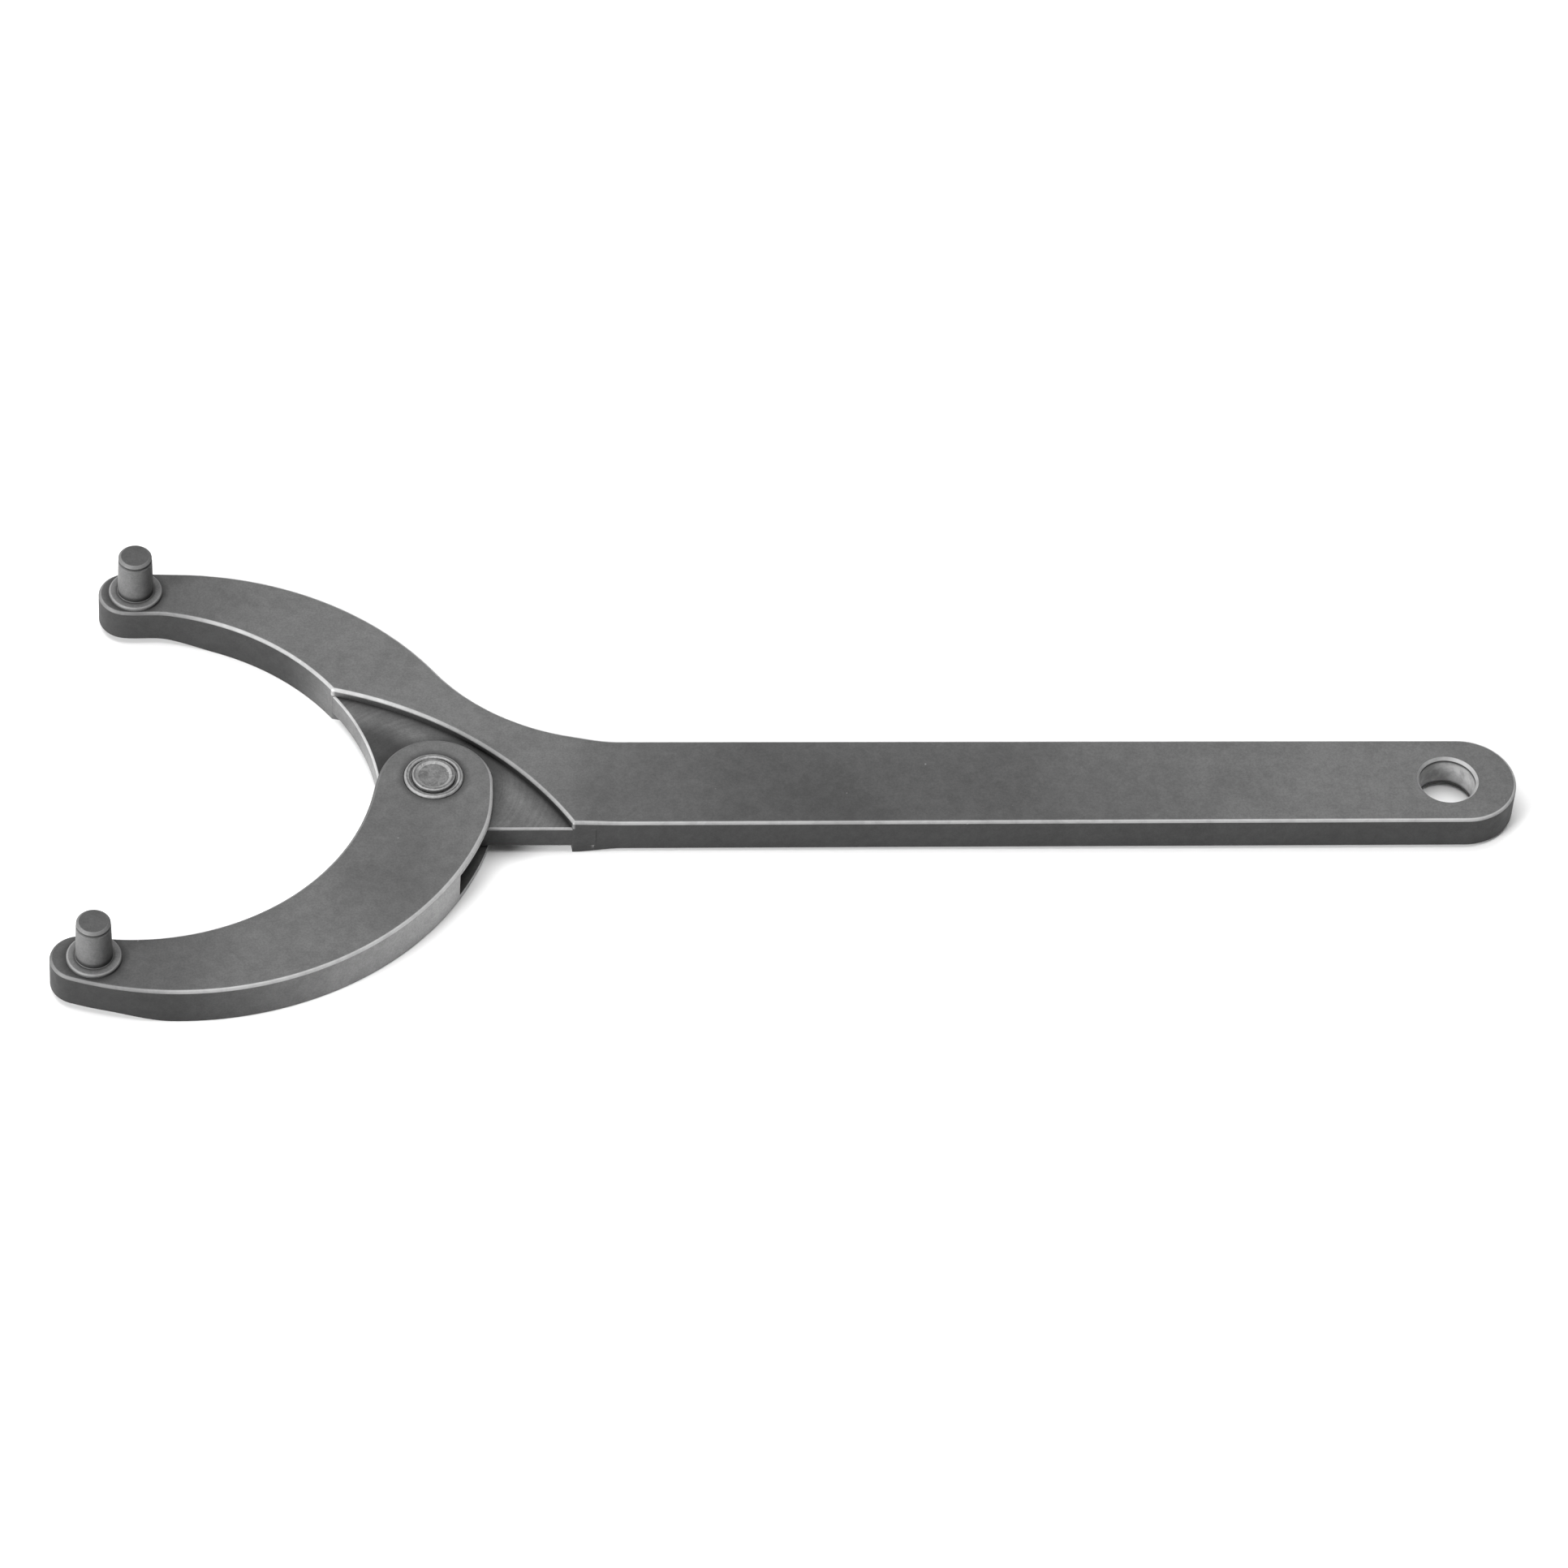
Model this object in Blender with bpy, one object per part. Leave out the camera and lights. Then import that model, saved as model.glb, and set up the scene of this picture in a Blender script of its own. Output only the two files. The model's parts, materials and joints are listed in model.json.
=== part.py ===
"""Adjustable face-pin spanner: a forged bar handle with a fixed curved arm, a second curved arm
that swings on a riveted fork joint, and an upright pin at the tip of each arm.

Every outline is drawn round the hinge axis: X along the handle, Y across it, Z up, with the
underside at Z = 0. The whole tool then stands so that the world origin is at the middle of its base.
"""

import math

import bmesh
import bpy
from mathutils import Matrix, Vector

MM = 0.001

# Thicknesses and heights, from the underside
HEAD_THICKNESS = 6.35 * MM
HANDLE_THICKNESS = 5.40 * MM
RECESS_DEPTH = 1.35 * MM  # milled into both faces of the head, which leaves the tongue
CHEEK_THICKNESS = 1.10 * MM  # each side of the fork
EDGE_RADIUS = 0.45 * MM
TONGUE_SETBACK = 0.10 * MM  # the milled tongue is this much narrower than the forging

# Handle
HANDLE_WIDTH = 15.9 * MM
HANDLE_MIDDLE_Y = -0.44 * MM
HANDLE_END_X = 156.85 * MM
HANDLE_START_X = 27.0 * MM  # where the thicker head has faded into the handle
HANDLE_FLARE = 0.3 * MM  # how much wider the bar is there than at its far end
HANG_HOLE_RADIUS = 4.1 * MM
HANG_HOLE_CHAMFER = 0.4 * MM
HANG_HOLE_X = 146.8 * MM

# Fixed arm and head
FIXED_OUTER_CENTRE = Vector((-37.15, -5.68)) * MM
FIXED_OUTER_RADIUS = 46.23 * MM
FIXED_INNER_CENTRE = Vector((-44.2, -3.7)) * MM
FIXED_TIP_CENTRE = Vector((-44.05, 36.5)) * MM
TIP_RADIUS = 4.2 * MM
FIXED_TIP_START = -95  # degrees round the tip, from its inner side
FIXED_TIP_END = -270  # to its outer side
TIP_BLEND_LENGTH = 8.0 * MM  # over which the arm's edges run into the round tip
TIP_RISE = 1.0 * MM  # both arms thin from below towards their tips
TIP_RISE_START = 13.0 * MM  # from the tip's centre
TIP_RISE_END = 3.5 * MM
HEAD_FILLET_RADIUS = 31.48 * MM
HEAD_FRONT_Y = -8.95 * MM
NOSE_CENTRE = Vector((0.0, -1.08)) * MM
STEP_CENTRE = Vector((-28.0, -36.0)) * MM
STEP_RADIUS = 54.86 * MM
STEP_END_RADIUS = 8.0 * MM  # below, the step ends in a round that meets the front edge squarely
STEP_END_CLEARANCE = 0.05 * MM  # of that round past the step's front corner

# Swing arm
SWING_OUTER_CENTRE = Vector((-36.2, 5.65)) * MM
SWING_OUTER_RADIUS = 46.2 * MM
SWING_INNER_CENTRE = Vector((-42.8, 4.34)) * MM
SWING_INNER_RADIUS = 34.8 * MM
FORK_CENTRE = Vector((0.3, -0.75)) * MM
FORK_RADIUS = 8.2 * MM
FORK_ROUND_END = 145  # degrees round the fork, where its curve runs into the inner edge
FORK_INNER_START = -12  # degrees round the inner edge, where it has run in
FORK_SHOULDER_Y = -10.0 * MM  # where the outer edge leaves its arc for the round fork
SLOT_OUTER_END = Vector((3.4, -17.95)) * MM
SLOT_INNER_END = Vector((-10.3, -8.15)) * MM

# Pins
FIXED_PIN_CENTRE = Vector((-42.8, 36.6)) * MM
SWING_PIN_CENTRE = Vector((-48.1, -34.05)) * MM
PIN_HEIGHT = 7.7 * MM  # above the arm
PIN_ROOT_RADIUS = 2.62 * MM
PIN_TIP_RADIUS = 2.42 * MM
PIN_CHAMFER = 0.35 * MM
COLLAR_RADIUS = 3.95 * MM
COLLAR_HEIGHT = 0.6 * MM
COLLAR_CHAMFER = 0.15 * MM
PIN_ROOT_CHAMFER = 0.15 * MM  # between the pin and its collar
TENON_RADIUS = 2.0 * MM  # the pin's stem inside the arm
PEENED_RADIUS = 2.9 * MM  # the stem's end, riveted over flush with the underside
PEENED_DEPTH = 0.9 * MM

# Hinge rivet and its washer
RIVET_RADIUS = 2.4 * MM
RIVET_SUNK_RADIUS = 3.9 * MM
RIVET_HEAD_RADIUS = 3.05 * MM
RIVET_HEAD_SIDE_HEIGHT = 0.35 * MM  # this and the next two are above the cheek
RIVET_RIM_HEIGHT = 0.62 * MM
RIVET_DISH_HEIGHT = 0.42 * MM
RIVET_RIM_RADIUS = 2.75 * MM
RIVET_DISH_RADIUS = 2.10 * MM
RIVET_RIM_CHAMFER = 0.12 * MM
WASHER_OUTER_RADIUS = 4.3 * MM
WASHER_CREST_RADIUS = 3.85 * MM
WASHER_MOUTH_RADIUS = 3.32 * MM
WASHER_THROAT_RADIUS = 2.7 * MM
WASHER_PROUD = 0.4 * MM
WASHER_SEAT_DEPTH = 0.45 * MM
WASHER_SEAT_RADIUS = 4.55 * MM

GAP = 0.25 * MM
SEAT_GAP = 0.2 * MM
OVERSHOOT = 3.0 * MM  # how far a cutter runs past what it cuts
CHORD_ERROR = 0.03 * MM
ROUND_SIDES = 36
EDGE_SEGMENTS = 2
TAPER_CUTS = 5
SHARP_ANGLE = math.radians(35)

STEEL_GREY = (0.135, 0.135, 0.135, 1.0)
PIN_GREY = (0.16, 0.16, 0.16, 1.0)
RIVET_GREY = (0.15, 0.15, 0.15, 1.0)


# ---------------------------------------------------------------- outlines

def unit(degrees):
    return Vector((math.cos(math.radians(degrees)), math.sin(math.radians(degrees))))


def bearing(centre, point):
    """Angle in degrees of the point as seen from the centre."""
    return math.degrees(math.atan2(point.y - centre.y, point.x - centre.x))


def arc(centre, radius, start, end):
    """Points on a circle from one angle to another, in degrees, both ends included."""
    widest = 2 * math.degrees(math.acos(1 - CHORD_ERROR / radius))
    steps = max(1, math.ceil(abs(end - start) / widest))
    return [centre + radius * unit(start + (end - start) * i / steps) for i in range(steps + 1)]


def blend(start, start_way, end, end_way, steps=6):
    """A cubic curve between two points that leaves and arrives along the given directions."""
    reach = (end - start).length / 3
    first = start + start_way.normalized() * reach
    second = end - end_way.normalized() * reach
    points = []
    for i in range(steps + 1):
        t = i / steps
        s = 1 - t
        points.append(s**3 * start + 3 * s * s * t * first + 3 * s * t * t * second + t**3 * end)
    return points


def joined(*stretches):
    """One closed outline from stretches that start where the last one ended."""
    outline = []
    for stretch in stretches:
        for point in stretch:
            if not outline or (point - outline[-1]).length > CHORD_ERROR / 10:
                outline.append(point)
    if (outline[0] - outline[-1]).length < CHORD_ERROR / 10:
        outline.pop()
    return outline


def crossing(centre, radius, other_centre, other_radius, side):
    """Where two circles cross: side +1 is to the left of the way from one centre to the other."""
    way = other_centre - centre
    distance = way.length
    along = (distance**2 + radius**2 - other_radius**2) / (2 * distance)
    off = math.sqrt(radius**2 - along**2)
    way.normalize()
    return centre + way * along + Vector((-way.y, way.x)) * off * side


def turn(way, degrees):
    return Matrix.Rotation(math.radians(degrees), 2) @ way


def along(bearing_degrees, quarter):
    """The way a circle runs at one bearing: quarter is 90 anticlockwise, -90 clockwise."""
    return unit(bearing_degrees + quarter)


NOSE_RADIUS = NOSE_CENTRE.y - HEAD_FRONT_Y
FIXED_INNER_RADIUS = (NOSE_CENTRE - FIXED_INNER_CENTRE).length - NOSE_RADIUS
SWING_TIP_CENTRE = crossing(
    SWING_OUTER_CENTRE, SWING_OUTER_RADIUS - TIP_RADIUS,
    SWING_INNER_CENTRE, SWING_INNER_RADIUS + TIP_RADIUS, 1,
)
HANDLE_BACK_Y = HANDLE_MIDDLE_Y + HANDLE_WIDTH / 2
HANDLE_FRONT_Y = HANDLE_MIDDLE_Y - HANDLE_WIDTH / 2
HANDLE_END_CENTRE = Vector((HANDLE_END_X - HANDLE_WIDTH / 2, HANDLE_MIDDLE_Y))
INNER_CORNER = crossing(FIXED_INNER_CENTRE, FIXED_INNER_RADIUS, STEP_CENTRE, STEP_RADIUS, 1)
FRONT_CORNER = Vector((
    STEP_CENTRE.x + math.sqrt(STEP_RADIUS**2 - (HEAD_FRONT_Y - STEP_CENTRE.y) ** 2),
    HEAD_FRONT_Y,
))

# The middle of the base, as seen from the hinge axis
BASE_MIDDLE = Vector((
    (HANDLE_END_X + SWING_TIP_CENTRE.x - TIP_RADIUS) / 2,
    (FIXED_TIP_CENTRE.y + TIP_RADIUS + SWING_OUTER_CENTRE.y - SWING_OUTER_RADIUS) / 2,
    0.0,
))


def head_outline():
    """The forging without its tongue: the handle, the head behind the step and the fixed arm."""
    fillet_centre_y = HANDLE_BACK_Y + HEAD_FILLET_RADIUS
    reach = FIXED_OUTER_RADIUS + HEAD_FILLET_RADIUS
    fillet_centre = Vector((
        FIXED_OUTER_CENTRE.x + math.sqrt(reach**2 - (fillet_centre_y - FIXED_OUTER_CENTRE.y) ** 2),
        fillet_centre_y,
    ))
    tangent = bearing(FIXED_OUTER_CENTRE, fillet_centre)
    inner_start = bearing(FIXED_INNER_CENTRE, INNER_CORNER)
    blend_sweep = math.degrees(TIP_BLEND_LENGTH / FIXED_OUTER_RADIUS)
    inner_end = bearing(FIXED_INNER_CENTRE, FIXED_TIP_CENTRE) - blend_sweep
    outer_start = bearing(FIXED_OUTER_CENTRE, FIXED_TIP_CENTRE) - blend_sweep
    inner = arc(FIXED_INNER_CENTRE, FIXED_INNER_RADIUS, inner_start, inner_end)
    tip = arc(FIXED_TIP_CENTRE, TIP_RADIUS, FIXED_TIP_START, FIXED_TIP_END)
    outer = arc(FIXED_OUTER_CENTRE, FIXED_OUTER_RADIUS, outer_start, tangent)
    fillet = arc(fillet_centre, HEAD_FILLET_RADIUS, 180 + tangent, 270)
    end = arc(HANDLE_END_CENTRE, HANDLE_WIDTH / 2, 90, -90)
    handle_start = Vector((HANDLE_START_X, HANDLE_FRONT_Y - HANDLE_FLARE))
    left = Vector((-1.0, 0.0))
    front = blend(handle_start, left, FRONT_CORNER, left)
    step = arc(
        STEP_CENTRE, STEP_RADIUS,
        bearing(STEP_CENTRE, FRONT_CORNER), bearing(STEP_CENTRE, INNER_CORNER),
    )
    return joined(
        inner,
        blend(inner[-1], along(inner_end, 90), tip[0], along(FIXED_TIP_START, -90)),
        tip,
        blend(tip[-1], along(FIXED_TIP_END, -90), outer[0], along(outer_start, -90)),
        outer,
        fillet,
        end,
        front,
        step,
    )


def tongue_outline():
    """The tongue that the fork closes on, run on into the head so that the two join."""
    inner_radius = FIXED_INNER_RADIUS + TONGUE_SETBACK
    nose_radius = NOSE_RADIUS - TONGUE_SETBACK
    into_head = STEP_RADIUS + OVERSHOOT
    front_y = HEAD_FRONT_Y + TONGUE_SETBACK
    tangent = bearing(FIXED_INNER_CENTRE, NOSE_CENTRE)
    far = crossing(FIXED_INNER_CENTRE, inner_radius, STEP_CENTRE, into_head, 1)
    near_x = STEP_CENTRE.x + math.sqrt(into_head**2 - (front_y - STEP_CENTRE.y) ** 2)
    return joined(
        arc(NOSE_CENTRE, nose_radius, 270, 180 + tangent),
        arc(FIXED_INNER_CENTRE, inner_radius, tangent, bearing(FIXED_INNER_CENTRE, far)),
        arc(
            STEP_CENTRE, into_head,
            bearing(STEP_CENTRE, far), bearing(STEP_CENTRE, Vector((near_x, front_y))),
        ),
    )


def swing_outline():
    """The swing arm with its round fork end."""
    inner_end = bearing(SWING_INNER_CENTRE, SWING_TIP_CENTRE)
    outer_start = bearing(SWING_OUTER_CENTRE, SWING_TIP_CENTRE)
    shoulder_rise = FORK_SHOULDER_Y - SWING_OUTER_CENTRE.y
    outer_end = math.degrees(math.asin(shoulder_rise / SWING_OUTER_RADIUS))
    fork = arc(FORK_CENTRE, FORK_RADIUS, 0, FORK_ROUND_END)
    inner = arc(SWING_INNER_CENTRE, SWING_INNER_RADIUS, FORK_INNER_START, inner_end)
    run_in = blend(fork[-1], along(FORK_ROUND_END, 90), inner[0], along(FORK_INNER_START, -90))
    tip = arc(SWING_TIP_CENTRE, TIP_RADIUS, inner_end + 180, outer_start + 360)
    outer = arc(SWING_OUTER_CENTRE, SWING_OUTER_RADIUS, outer_start, outer_end)
    shoulder = blend(outer[-1], along(outer_end, 90), fork[0], along(0, 90))
    return joined(fork, run_in, inner, tip, outer, shoulder)


def slot_outline():
    """The fork's slot: a straight floor square to the outer edge, open all round the fork."""
    floor = (SLOT_OUTER_END - SLOT_INNER_END).normalized()
    out = turn(floor, 90)
    reach = 2 * (FORK_RADIUS + OVERSHOOT) + (SLOT_OUTER_END - SLOT_INNER_END).length / 2
    outer = SLOT_OUTER_END + floor * reach
    inner = SLOT_INNER_END - floor * reach
    return [inner, outer, outer + out * 2 * reach, inner + out * 2 * reach]


# ---------------------------------------------------------------- solids

def steel(name, colour, roughness):
    material = bpy.data.materials.new(name)
    material.use_nodes = True
    shader = material.node_tree.nodes["Principled BSDF"]
    shader.inputs["Base Color"].default_value = colour
    shader.inputs["Metallic"].default_value = 0.85
    shader.inputs["Roughness"].default_value = roughness
    material.diffuse_color = colour
    return material


def new_object(name, mesh_maker, parent, material=None):
    """An object at its parent's origin, whose mesh is made closed and facing out."""
    shape = bmesh.new()
    mesh_maker(shape)
    bmesh.ops.recalc_face_normals(shape, faces=shape.faces)
    mesh = bpy.data.meshes.new(name)
    shape.to_mesh(mesh)
    shape.free()
    mesh.shade_smooth()
    mesh.set_sharp_from_angle(angle=SHARP_ANGLE)
    if material:
        mesh.materials.append(material)
    obj = bpy.data.objects.new(name, mesh)
    bpy.context.scene.collection.objects.link(obj)
    obj.parent = parent
    return obj


def new_helper(name, mesh_maker, parent):
    """A cutter or a join: it shapes another object and is not a piece itself."""
    obj = new_object(name, mesh_maker, parent)
    obj.hide_render = True
    obj.display_type = "WIRE"
    return obj


def combine(obj, other, operation):
    modifier = obj.modifiers.new(f"{operation.lower()} {other.name}", "BOOLEAN")
    modifier.operation = operation
    modifier.solver = "EXACT"
    modifier.object = other


def prism(outline, low, high, rounding=0.0):
    """Fills an outline between two heights, with its upper and lower edges rounded."""

    def make(shape):
        base = shape.faces.new([shape.verts.new((p.x, p.y, low)) for p in outline])
        grown = bmesh.ops.extrude_face_region(shape, geom=[base])
        raised = [v for v in grown["geom"] if isinstance(v, bmesh.types.BMVert)]
        bmesh.ops.translate(shape, verts=raised, vec=(0, 0, high - low))
        bmesh.ops.recalc_face_normals(shape, faces=shape.faces)
        if rounding:
            rims = [e for e in shape.edges if e.verts[0].co.z == e.verts[1].co.z]
            bmesh.ops.bevel(
                shape, geom=rims, offset=rounding, offset_type="OFFSET",
                segments=EDGE_SEGMENTS, profile=0.5, affect="EDGES",
            )

    return make


def thin(shape, start_x, end_x, thickness, level):
    """Thins a prism smoothly from start_x to end_x and beyond, about the height that stays level."""
    for i in range(TAPER_CUTS + 1):
        cut = Vector((start_x + (end_x - start_x) * i / TAPER_CUTS, 0, 0))
        everything = shape.verts[:] + shape.edges[:] + shape.faces[:]
        bmesh.ops.bisect_plane(shape, geom=everything, plane_co=cut, plane_no=(1, 0, 0))
    for vert in shape.verts:
        share = min(max((vert.co.x - start_x) / (end_x - start_x), 0.0), 1.0)
        eased = share * share * (3 - 2 * share)
        scale = 1 + eased * (thickness / HEAD_THICKNESS - 1)
        vert.co.z = level + (vert.co.z - level) * scale


def thin_tip(shape, tip_centre):
    start_x = tip_centre.x + TIP_RISE_START
    end_x = tip_centre.x + TIP_RISE_END
    thin(shape, start_x, end_x, HEAD_THICKNESS - TIP_RISE, HEAD_THICKNESS)


def head_forging(shape):
    """The handle, the head behind the step and the fixed arm, without the tongue."""
    prism(head_outline(), 0.0, HEAD_THICKNESS, EDGE_RADIUS)(shape)
    thin(shape, FRONT_CORNER.x, HANDLE_START_X, HANDLE_THICKNESS, HEAD_THICKNESS / 2)
    thin_tip(shape, FIXED_TIP_CENTRE)


def swing_forging(shape):
    prism(swing_outline(), 0.0, HEAD_THICKNESS, EDGE_RADIUS)(shape)
    thin_tip(shape, SWING_TIP_CENTRE)


def turned(profile, centre=Vector((0.0, 0.0))):
    """Turns a profile of (radius, height) points about an upright line.

    The profile runs anticlockwise, from the axis to the axis or round a closed loop.
    """

    def make(shape):
        line = [shape.verts.new((centre.x + r, centre.y, z)) for r, z in profile]
        edges = [shape.edges.new(pair) for pair in zip(line, line[1:])]
        bmesh.ops.spin(
            shape, geom=line + edges, cent=(centre.x, centre.y, 0), axis=(0, 0, 1),
            angle=math.tau, steps=ROUND_SIDES, use_merge=True,
        )
        bmesh.ops.remove_doubles(shape, verts=shape.verts, dist=1e-7)

    return make


def pin_profile():
    """Peened end, stem, collar, and a slightly tapered pin with a chamfered end."""
    base = TIP_RISE + SEAT_GAP / 2
    under = HEAD_THICKNESS + SEAT_GAP
    collar_top = HEAD_THICKNESS + COLLAR_HEIGHT
    top = HEAD_THICKNESS + PIN_HEIGHT
    return [
        (0, base),
        (PEENED_RADIUS, base),
        (TENON_RADIUS, base + PEENED_DEPTH),
        (TENON_RADIUS, under),
        (COLLAR_RADIUS, under),
        (COLLAR_RADIUS, collar_top - COLLAR_CHAMFER),
        (COLLAR_RADIUS - COLLAR_CHAMFER, collar_top),
        (PIN_ROOT_RADIUS + PIN_ROOT_CHAMFER, collar_top),
        (PIN_ROOT_RADIUS, collar_top + PIN_ROOT_CHAMFER),
        (PIN_TIP_RADIUS, top - PIN_CHAMFER),
        (PIN_TIP_RADIUS - PIN_CHAMFER, top),
        (0, top),
    ]


def pin_hole_profile():
    """Through an arm's tip, sunk from below for the pin's peened end."""
    base = TIP_RISE + SEAT_GAP / 2
    return [
        (0, -OVERSHOOT),
        (PEENED_RADIUS + GAP, -OVERSHOOT),
        (PEENED_RADIUS + GAP, base),
        (TENON_RADIUS + GAP, base + PEENED_DEPTH),
        (TENON_RADIUS + GAP, HEAD_THICKNESS + OVERSHOOT),
        (0, HEAD_THICKNESS + OVERSHOOT),
    ]


def rivet_profile():
    """A flush sunk head below, and above a head with a raised rim round a shallow dish."""
    rim = HEAD_THICKNESS + RIVET_RIM_HEIGHT
    dish = HEAD_THICKNESS + RIVET_DISH_HEIGHT
    return [
        (0, SEAT_GAP / 2),
        (RIVET_SUNK_RADIUS, SEAT_GAP / 2),
        (RIVET_RADIUS, CHEEK_THICKNESS),
        (RIVET_RADIUS, HEAD_THICKNESS - WASHER_SEAT_DEPTH),
        (RIVET_HEAD_RADIUS, HEAD_THICKNESS + RIVET_HEAD_SIDE_HEIGHT),
        (RIVET_HEAD_RADIUS - RIVET_RIM_CHAMFER, rim - RIVET_RIM_CHAMFER),
        (RIVET_RIM_RADIUS, rim),
        (RIVET_DISH_RADIUS, dish),
        (0, dish),
    ]


def washer_profile():
    """A ring with a rounded crest and a flared hole, drawn as one closed loop."""
    low = HEAD_THICKNESS - WASHER_SEAT_DEPTH + SEAT_GAP
    high = HEAD_THICKNESS + WASHER_PROUD
    outer_middle = (WASHER_CREST_RADIUS + WASHER_OUTER_RADIUS) / 2
    return [
        (WASHER_THROAT_RADIUS, low),
        (WASHER_OUTER_RADIUS, low),
        (WASHER_OUTER_RADIUS, high - WASHER_PROUD / 2),
        (outer_middle, high - WASHER_PROUD / 8),
        (WASHER_CREST_RADIUS, high),
        (WASHER_MOUTH_RADIUS, high - WASHER_PROUD / 4),
        (WASHER_THROAT_RADIUS, low),
    ]


def rivet_bore_profile():
    """Through the fork: sunk below for the rivet's head, seated above for the washer."""
    seat = HEAD_THICKNESS - WASHER_SEAT_DEPTH
    return [
        (0, -OVERSHOOT),
        (RIVET_SUNK_RADIUS + GAP, -OVERSHOOT),
        (RIVET_SUNK_RADIUS + GAP, SEAT_GAP / 2),
        (RIVET_RADIUS + GAP, CHEEK_THICKNESS),
        (RIVET_RADIUS + GAP, seat),
        (WASHER_SEAT_RADIUS, seat),
        (WASHER_SEAT_RADIUS, HEAD_THICKNESS + OVERSHOOT),
        (0, HEAD_THICKNESS + OVERSHOOT),
    ]


def step_end_profile():
    return [
        (0, -OVERSHOOT),
        (STEP_END_RADIUS, -OVERSHOOT),
        (STEP_END_RADIUS, RECESS_DEPTH),
        (0, RECESS_DEPTH),
    ]


def plain_bore_profile():
    return [
        (0, -OVERSHOOT),
        (RIVET_RADIUS + GAP, -OVERSHOOT),
        (RIVET_RADIUS + GAP, HEAD_THICKNESS + OVERSHOOT),
        (0, HEAD_THICKNESS + OVERSHOOT),
    ]


def hang_hole_profile():
    """A straight hole, chamfered at both faces of the handle."""
    low = (HEAD_THICKNESS - HANDLE_THICKNESS) / 2
    high = HEAD_THICKNESS - low
    wide = HANG_HOLE_RADIUS + HANG_HOLE_CHAMFER
    return [
        (0, low - OVERSHOOT),
        (wide + OVERSHOOT, low - OVERSHOOT),
        (wide, low),
        (HANG_HOLE_RADIUS, low + HANG_HOLE_CHAMFER),
        (HANG_HOLE_RADIUS, high - HANG_HOLE_CHAMFER),
        (wide, high),
        (wide + OVERSHOOT, high + OVERSHOOT),
        (0, high + OVERSHOOT),
    ]


# ---------------------------------------------------------------- assembly

def clear_scene():
    for obj in list(bpy.data.objects):
        bpy.data.objects.remove(obj)


def new_empty(name, parent=None, location=(0, 0, 0)):
    empty = bpy.data.objects.new(name, None)
    bpy.context.scene.collection.objects.link(empty)
    empty.parent = parent
    empty.location = location
    return empty


def make_handle_and_fixed_arm(hinge, material):
    body = new_object("handle_and_fixed_arm", head_forging, hinge, material)
    tongue = prism(tongue_outline(), RECESS_DEPTH, HEAD_THICKNESS - RECESS_DEPTH)
    combine(body, new_helper("tongue_join", tongue, hinge), "UNION")
    hang_centre = Vector((HANG_HOLE_X, HANDLE_MIDDLE_Y))
    step_end_centre = FRONT_CORNER + Vector((STEP_END_CLEARANCE - STEP_END_RADIUS, 0.0))
    cuts = {
        "lower_step_end_cutter": turned(step_end_profile(), step_end_centre),
        "tongue_bore_cutter": turned(plain_bore_profile()),
        "hang_hole_cutter": turned(hang_hole_profile(), hang_centre),
        "fixed_pin_hole_cutter": turned(pin_hole_profile(), FIXED_PIN_CENTRE),
    }
    for name, maker in cuts.items():
        combine(body, new_helper(name, maker, hinge), "DIFFERENCE")


def make_swing_arm(pivot, material):
    body = new_object("swing_arm", swing_forging, pivot, material)
    cuts = {
        "slot_cutter": prism(slot_outline(), CHEEK_THICKNESS, HEAD_THICKNESS - CHEEK_THICKNESS),
        "fork_bore_cutter": turned(rivet_bore_profile()),
        "swing_pin_hole_cutter": turned(pin_hole_profile(), SWING_PIN_CENTRE),
    }
    for name, maker in cuts.items():
        combine(body, new_helper(name, maker, pivot), "DIFFERENCE")


def main():
    clear_scene()
    forged = steel("forged_steel", STEEL_GREY, 0.55)
    pin_steel = steel("pin_steel", PIN_GREY, 0.45)
    rivet_steel = steel("rivet_steel", RIVET_GREY, 0.5)
    hinge = new_empty("hinge_axis", location=-BASE_MIDDLE)
    swing = new_empty("swing_pivot", parent=hinge)
    make_handle_and_fixed_arm(hinge, forged)
    new_object("fixed_arm_pin", turned(pin_profile(), FIXED_PIN_CENTRE), hinge, pin_steel)
    make_swing_arm(swing, forged)
    new_object("swing_arm_pin", turned(pin_profile(), SWING_PIN_CENTRE), swing, pin_steel)
    new_object("hinge_rivet", turned(rivet_profile()), swing, rivet_steel)
    new_object("hinge_washer", turned(washer_profile()), swing, rivet_steel)


main()
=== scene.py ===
"""Looks of the adjustable pin spanner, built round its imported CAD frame.

Each forging and each turned piece is made again here with a finer surface and stands for its CAD
node. Outlines are drawn round the hinge axis, in metres, as they are in the CAD: X along the
handle, Y across it, Z up from the underside.
"""

import json
import math

import bmesh
import bpy
from mathutils import Matrix, Vector


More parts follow.
